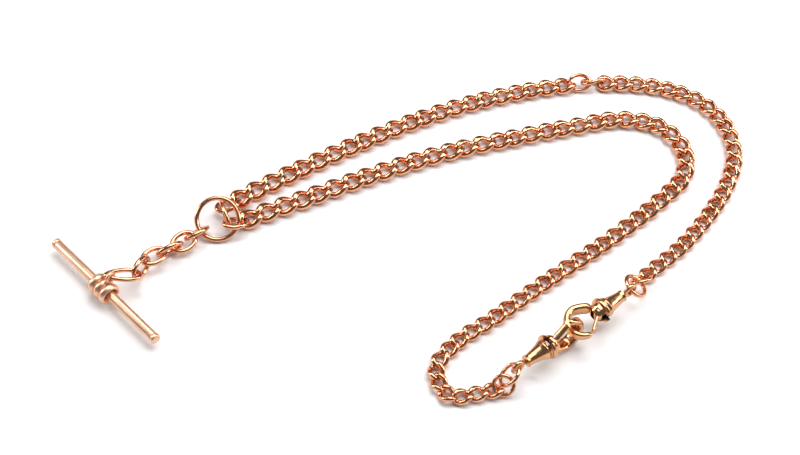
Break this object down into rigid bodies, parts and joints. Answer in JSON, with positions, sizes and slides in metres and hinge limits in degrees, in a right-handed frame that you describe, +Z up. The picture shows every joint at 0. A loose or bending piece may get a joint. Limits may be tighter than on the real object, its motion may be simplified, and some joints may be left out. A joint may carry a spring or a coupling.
{
  "type": "pocket watch chain",
  "caption": "Double pocket watch chain: two graduated curb arms from one ring, closed by two hooked swivel clasps, with a short trace-link drop to a ridged-collar T-bar.",
  "frame": {"origin": "on the surface that the chain lies on, under the middle of its box", "axes": "+X along the longest extent, from the T-bar towards the clasps' side; +Y away from the viewer; +Z up from the surface"},
  "size_m": [0.1448, 0.0856, 0.008],
  "materials": {
    "chain": "polished rose gold",
    "bar": "satin rose gold",
    "clasp": "polished, slightly darker gold"
  },
  "bodies": {
    "root": {"albert_ring": "chain"},
    "upper_end_link": {"upper_end_link": "chain"},
    "lower_end_link": {"lower_end_link": "chain"},
    "middle_link": {"middle_link": "chain"},
    "upper_run_01": {"upper_run_01": "chain"},
    "upper_run_02": {"upper_run_02": "chain"},
    "upper_run_03": {"upper_run_03": "chain"},
    "upper_run_04": {"upper_run_04": "chain"},
    "upper_run_05": {"upper_run_05": "chain"},
    "upper_run_06": {"upper_run_06": "chain"},
    "join_link_inner": {"join_link_inner": "chain"},
    "join_link_outer": {"join_link_outer": "chain"},
    "upper_run_07": {"upper_run_07": "chain"},
    "upper_run_08": {"upper_run_08": "chain"},
    "upper_run_09": {"upper_run_09": "chain"},
    "upper_run_10": {"upper_run_10": "chain"},
    "upper_run_11": {"upper_run_11": "chain"},
    "upper_run_12": {"upper_run_12": "chain"},
    "lower_run_01": {"lower_run_01": "chain"},
    "lower_run_02": {"lower_run_02": "chain"},
    "lower_run_03": {"lower_run_03": "chain"},
    "lower_run_04": {"lower_run_04": "chain"},
    "lower_run_05": {"lower_run_05": "chain"},
    "lower_run_06": {"lower_run_06": "chain"},
    "lower_run_07": {"lower_run_07": "chain"},
    "lower_run_08": {"lower_run_08": "chain"},
    "lower_run_09": {"lower_run_09": "chain"},
    "lower_run_10": {"lower_run_10": "chain"},
    "lower_run_11": {"lower_run_11": "chain"},
    "lower_run_12": {"lower_run_12": "chain"},
    "lower_run_13": {"lower_run_13": "chain"},
    "lower_run_14": {"lower_run_14": "chain"},
    "lower_run_15": {"lower_run_15": "chain"},
    "lower_run_16": {"lower_run_16": "chain"},
    "lower_run_17": {"lower_run_17": "chain"},
    "drop_link_1": {"drop_link_1": "chain"},
    "drop_link_2": {"drop_link_2": "chain"},
    "drop_link_3": {"drop_link_3": "chain"},
    "drop_link_4": {"drop_link_4": "chain"},
    "drop_link_5": {"drop_link_5": "chain"},
    "pear_shackle": {"pear_shackle": "chain"},
    "bar_collar": {"bar_collar": "bar"},
    "t_bar": {"t_bar": "bar", "bar_cap_near": "bar", "bar_cap_far": "bar"},
    "clasp_a": {"clasp_a_body": "clasp", "clasp_a_pin": "clasp", "clasp_a_spring": "clasp"},
    "clasp_a_lever": {"clasp_a_lever": "clasp"},
    "clasp_a_swivel_eye": {"clasp_a_swivel_eye": "clasp"},
    "clasp_b": {"clasp_b_body": "clasp", "clasp_b_pin": "clasp", "clasp_b_spring": "clasp"},
    "clasp_b_lever": {"clasp_b_lever": "clasp"},
    "clasp_b_swivel_eye": {"clasp_b_swivel_eye": "clasp"},
    "jump_ring_a_large": {"jump_ring_a_large": "chain"},
    "jump_ring_a_small": {"jump_ring_a_small": "chain"},
    "jump_ring_b_large": {"jump_ring_b_large": "chain"},
    "jump_ring_b_small": {"jump_ring_b_small": "chain"}
  },
  "joints": [
    {"name": "ring_turn", "type": "hinge", "parent": "root", "child": "lower_end_link", "pos_m": [-0.03487, 0.00116, 0.002], "axis": [0.0874, 0.4941, 0.865], "range_deg": [-8, 8]},
    {"name": "middle_link_roll", "type": "hinge", "parent": "lower_end_link", "child": "middle_link", "pos_m": [-0.0359, 0.00012, 0.00193], "axis": [-0.371, 0.9182, 0.1392], "range_deg": [-6, 6]},
    {"name": "upper_end_roll", "type": "hinge", "parent": "middle_link", "child": "upper_end_link", "pos_m": [-0.0382, 0.00582, 0.00279], "axis": [-0.371, 0.9182, 0.1392], "range_deg": [-6, 6]},
    {"name": "fold_01_upper", "type": "hinge", "parent": "upper_end_link", "child": "upper_run_01", "pos_m": [-0.03536, 0.00742, 0.00121], "axis": [0.3554, -0.9347, 0.0001], "range_deg": [-12, 12]},
    {"name": "fold_01_lower", "type": "hinge", "parent": "lower_end_link", "child": "lower_run_01", "pos_m": [-0.03333, 0.00209, 0.00121], "axis": [0.3554, -0.9347, 0.0001], "range_deg": [-12, 12]},
    {"name": "fold_02_upper", "type": "hinge", "parent": "upper_run_01", "child": "upper_run_02", "pos_m": [-0.02258, 0.01585, 0.00119], "axis": [-0.4252, 0.9051, -0.0005], "range_deg": [-12, 12]},
    {"name": "fold_02_lower", "type": "hinge", "parent": "lower_run_01", "child": "lower_run_02", "pos_m": [-0.01929, 0.00884, 0.00119], "axis": [-0.4252, 0.9051, -0.0005], "range_deg": [-12, 12]},
    {"name": "fold_03_upper", "type": "hinge", "parent": "upper_run_02", "child": "upper_run_03", "pos_m": [-0.00965, 0.02346, 0.00116], "axis": [0.0744, -0.9972, 0.0013], "range_deg": [-12, 12]},
    {"name": "fold_03_lower", "type": "hinge", "parent": "lower_run_02", "child": "lower_run_03", "pos_m": [-0.00892, 0.01367, 0.00118], "axis": [0.0744, -0.9972, 0.0013], "range_deg": [-12, 12]},
    {"name": "fold_04_upper", "type": "hinge", "parent": "upper_run_03", "child": "upper_run_04", "pos_m": [0.00337, 0.0303, 0.00114], "axis": [0.1543, 0.988, -0.0017], "range_deg": [-12, 12]},
    {"name": "fold_04_lower", "type": "hinge", "parent": "lower_run_03", "child": "lower_run_04", "pos_m": [0.00146, 0.01808, 0.00116], "axis": [0.1543, 0.988, -0.0017], "range_deg": [-12, 12]},
    {"name": "fold_05_upper", "type": "hinge", "parent": "upper_run_04", "child": "upper_run_05", "pos_m": [0.01672, 0.03568, 0.00112], "axis": [-0.3258, -0.9454, 0.002], "range_deg": [-12, 12]},
    {"name": "fold_05_lower", "type": "hinge", "parent": "lower_run_04", "child": "lower_run_05", "pos_m": [0.01195, 0.02181, 0.00115], "axis": [-0.3258, -0.9454, 0.002], "range_deg": [-12, 12]},
    {"name": "fold_06_upper", "type": "hinge", "parent": "upper_run_05", "child": "upper_run_06", "pos_m": [0.02681, 0.03855, 0.0011], "axis": [0.296, 0.9552, -0.0022], "range_deg": [-12, 12]},
    {"name": "fold_06_lower", "type": "hinge", "parent": "lower_run_05", "child": "lower_run_06", "pos_m": [0.02254, 0.02475, 0.00113], "axis": [0.296, 0.9552, -0.0022], "range_deg": [-12, 12]},
    {"name": "fold_07_upper", "type": "hinge", "parent": "upper_run_06", "child": "upper_run_07", "pos_m": [0.04009, 0.04065, 0.00136], "axis": [-0.4702, -0.8824, -0.0164], "range_deg": [-12, 12]},
    {"name": "fold_07_lower", "type": "hinge", "parent": "lower_run_06", "child": "lower_run_07", "pos_m": [0.03304, 0.02742, 0.00112], "axis": [-0.4702, -0.8824, -0.0164], "range_deg": [-12, 12]},
    {"name": "fold_08_upper", "type": "hinge", "parent": "upper_run_07", "child": "upper_run_08", "pos_m": [0.05978, 0.03837, 0.00104], "axis": [0.8885, 0.4589, -0.0033], "range_deg": [-12, 12]},
    {"name": "fold_08_lower", "type": "hinge", "parent": "lower_run_07", "child": "lower_run_08", "pos_m": [0.04344, 0.02992, 0.0011], "axis": [0.8885, 0.4589, -0.0033], "range_deg": [-12, 12]},
    {"name": "fold_09_upper", "type": "hinge", "parent": "upper_run_08", "child": "upper_run_09", "pos_m": [0.06897, 0.02953, 0.00102], "axis": [-0.9993, -0.0365, 0.0046], "range_deg": [-12, 12]},
    {"name": "fold_09_lower", "type": "hinge", "parent": "lower_run_08", "child": "lower_run_09", "pos_m": [0.05373, 0.02898, 0.00109], "axis": [-0.9993, -0.0365, 0.0046], "range_deg": [-12, 12]},
    {"name": "fold_10_upper", "type": "hinge", "parent": "upper_run_09", "child": "upper_run_10", "pos_m": [0.06996, 0.01705, 0.001], "axis": [0.9279, -0.3727, -0.0071], "range_deg": [-12, 12]},
    {"name": "fold_10_lower", "type": "hinge", "parent": "lower_run_09", "child": "lower_run_10", "pos_m": [0.05982, 0.02112, 0.00107], "axis": [0.9279, -0.3727, -0.0071], "range_deg": [-12, 12]},
    {"name": "fold_11_upper", "type": "hinge", "parent": "upper_run_10", "child": "upper_run_11", "pos_m": [0.06474, 0.00575, 0.00097], "axis": [-0.7853, 0.6191, 0.0091], "range_deg": [-12, 12]},
    {"name": "fold_11_lower", "type": "hinge", "parent": "lower_run_10", "child": "lower_run_11", "pos_m": [0.05729, 0.01162, 0.00106], "axis": [-0.7853, 0.6191, 0.0091], "range_deg": [-12, 12]},
    {"name": "fold_12_upper", "type": "hinge", "parent": "upper_run_11", "child": "upper_run_12", "pos_m": [0.05742, -0.004, 0.00095], "axis": [0.6506, -0.7594, -0.0086], "range_deg": [-12, 12]},
    {"name": "fold_12_lower", "type": "hinge", "parent": "lower_run_11", "child": "lower_run_12", "pos_m": [0.05025, 0.00437, 0.00104], "axis": [0.6506, -0.7594, -0.0086], "range_deg": [-12, 12]},
    {"name": "join_link_inner_roll", "type": "hinge", "parent": "upper_run_06", "child": "join_link_inner", "pos_m": [0.03854, 0.04053, 0.00165], "axis": [0.9952, 0.0977, 0], "range_deg": [-8, 8]},
    {"name": "join_link_outer_roll", "type": "hinge", "parent": "upper_run_07", "child": "join_link_outer", "pos_m": [0.04165, 0.04078, 0.00172], "axis": [0.9981, 0.0609, 0], "range_deg": [-8, 8]},
    {"name": "drop_link_5_swing", "type": "hinge", "parent": "root", "child": "drop_link_5", "pos_m": [-0.04092, 0.00031, 0.00149], "axis": [0.4314, -0.6297, -0.6461], "range_deg": [-8, 8]},
    {"name": "drop_link_4_swing", "type": "hinge", "parent": "drop_link_5", "child": "drop_link_4", "pos_m": [-0.0441, -0.00259, 0.00189], "axis": [0.1451, -0.2587, 0.955], "range_deg": [-8, 8]},
    {"name": "drop_link_3_swing", "type": "hinge", "parent": "drop_link_4", "child": "drop_link_3", "pos_m": [-0.04673, -0.00479, 0.00203], "axis": [0.4776, -0.8023, -0.3582], "range_deg": [-8, 8]},
    {"name": "drop_link_2_swing", "type": "hinge", "parent": "drop_link_3", "child": "drop_link_2", "pos_m": [-0.04964, -0.00673, 0.00215], "axis": [0.0543, 0.0958, 0.9939], "range_deg": [-8, 8]},
    {"name": "drop_link_1_swing", "type": "hinge", "parent": "drop_link_2", "child": "drop_link_1", "pos_m": [-0.05235, -0.00925, 0.00238], "axis": [0.8886, -0.4326, 0.1524], "range_deg": [-8, 8]},
    {"name": "shackle_swing", "type": "hinge", "parent": "drop_link_1", "child": "pear_shackle", "pos_m": [-0.05347, -0.01303, 0.00309], "axis": [-0.2759, 0.9363, -0.2173], "range_deg": [-5, 5]},
    {"name": "collar_swing", "type": "hinge", "parent": "pear_shackle", "child": "bar_collar", "pos_m": [-0.05919, -0.01511, 0.00488], "axis": [-0.829, 0.5592, 0], "range_deg": [-5, 5]},
    {"name": "bar_spin", "type": "hinge", "parent": "bar_collar", "child": "t_bar", "pos_m": [-0.0604, -0.0164, 0.00238], "axis": [0.6782, -0.7349, 0], "continuous": true},
    {"name": "clasp_a_lever_turn", "type": "hinge", "parent": "clasp_a", "child": "clasp_a_lever", "pos_m": [0.03863, -0.02389, 0.00423], "axis": [0, 0, -1], "range_deg": [0, 22], "stiffness_Nm_per_rad": 0.01, "springref_deg": -11.46},
    {"name": "clasp_b_lever_turn", "type": "hinge", "parent": "clasp_b", "child": "clasp_b_lever", "pos_m": [0.02931, -0.03072, 0.00473], "axis": [-0.6252, 0.7804, 0], "range_deg": [0, 22], "stiffness_Nm_per_rad": 0.01, "springref_deg": -11.46},
    {"name": "jump_ring_a_large_turn", "type": "hinge", "parent": "clasp_a_swivel_eye", "child": "jump_ring_a_large", "pos_m": [0.04675, -0.01596, 0.00319], "axis": [0.5815, 0.0903, 0.8085], "range_deg": [-10, 10]},
    {"name": "jump_ring_a_small_turn", "type": "hinge", "parent": "upper_run_12", "child": "jump_ring_a_small", "pos_m": [0.04817, -0.01323, 0.00169], "axis": [-0.2316, 0.6079, 0.7595], "range_deg": [-10, 10]},
    {"name": "jump_ring_b_large_turn", "type": "hinge", "parent": "clasp_b_swivel_eye", "child": "jump_ring_b_large", "pos_m": [0.02067, -0.0373, 0.00293], "axis": [-0.6818, 0.1099, 0.7233], "range_deg": [-10, 10]},
    {"name": "jump_ring_b_small_turn", "type": "hinge", "parent": "lower_run_17", "child": "jump_ring_b_small", "pos_m": [0.01942, -0.03921, 0.00203], "axis": [-0.1503, -0.7808, 0.6064], "range_deg": [-10, 10]},
    {"name": "closing_upper", "type": "hinge", "parent": "upper_run_12", "child": "clasp_a_swivel_eye", "pos_m": [0.04746, -0.0146, 0.00244], "axis": [-0.5797, 0.807, -0.1125], "range_deg": [-6, 6]},
    {"name": "closing_lower", "type": "hinge", "parent": "lower_run_12", "child": "lower_run_13", "pos_m": [0.04018, -0.00446, 0.00103], "axis": [-0.5797, 0.807, -0.1125], "range_deg": [-6, 6]},
    {"name": "clasp_swivel_a", "type": "hinge", "parent": "clasp_a_swivel_eye", "child": "clasp_a", "pos_m": [0.04538, -0.01784, 0.00423], "axis": [0.7804, 0.6252, 0], "range_deg": [-90, 90]},
    {"name": "clasp_swivel_b", "type": "hinge", "parent": "clasp_b_swivel_eye", "child": "clasp_b", "pos_m": [0.02224, -0.03638, 0.00423], "axis": [0.7804, 0.6252, 0], "range_deg": [-90, 90]},
    {"name": "hook_swing", "type": "hinge", "parent": "lower_run_13", "child": "lower_run_14", "pos_m": [0.02985, -0.01257, 0.00101], "axis": [0.2568, -0.9436, 0.2091], "range_deg": [-8, 8]},
    {"name": "bend_outer_start", "type": "hinge", "parent": "lower_run_14", "child": "lower_run_15", "pos_m": [0.01995, -0.0208, 0.00099], "axis": [0.0054, -0.9963, 0.0852], "range_deg": [-6, 6]},
    {"name": "bend_inner_start", "type": "hinge", "parent": "lower_run_15", "child": "lower_run_16", "pos_m": [0.01013, -0.02865, 0.00097], "axis": [-0.4115, -0.9114, -0.0017], "range_deg": [-12, 12]},
    {"name": "bend_inner_end", "type": "hinge", "parent": "lower_run_16", "child": "lower_run_17", "pos_m": [0.00655, -0.03657, 0.00095], "axis": [-0.4115, -0.9114, -0.0017], "range_deg": [-12, 12]},
    {"name": "bend_outer_end", "type": "hinge", "parent": "lower_run_17", "child": "clasp_b_swivel_eye", "pos_m": [0.02005, -0.03825, 0.00248], "axis": [0.0054, -0.9963, 0.0852], "range_deg": [-6, 6]}
  ],
  "couplings": [
    {"joint": "upper_end_roll", "follows": "middle_link_roll", "ratio": -1},
    {"joint": "fold_01_lower", "follows": "fold_01_upper", "ratio": 1},
    {"joint": "fold_02_lower", "follows": "fold_02_upper", "ratio": 1},
    {"joint": "fold_03_lower", "follows": "fold_03_upper", "ratio": 1},
    {"joint": "fold_04_lower", "follows": "fold_04_upper", "ratio": 1},
    {"joint": "fold_05_lower", "follows": "fold_05_upper", "ratio": 1},
    {"joint": "fold_06_lower", "follows": "fold_06_upper", "ratio": 1},
    {"joint": "fold_07_lower", "follows": "fold_07_upper", "ratio": 1},
    {"joint": "fold_08_lower", "follows": "fold_08_upper", "ratio": 1},
    {"joint": "fold_09_lower", "follows": "fold_09_upper", "ratio": 1},
    {"joint": "fold_10_lower", "follows": "fold_10_upper", "ratio": 1},
    {"joint": "fold_11_lower", "follows": "fold_11_upper", "ratio": 1},
    {"joint": "fold_12_lower", "follows": "fold_12_upper", "ratio": 1},
    {"joint": "closing_lower", "follows": "closing_upper", "ratio": 1},
    {"joint": "clasp_swivel_b", "follows": "clasp_swivel_a", "ratio": 1},
    {"joint": "bend_inner_end", "follows": "bend_inner_start", "ratio": -1},
    {"joint": "bend_outer_end", "follows": "bend_outer_start", "ratio": -1}
  ]
}
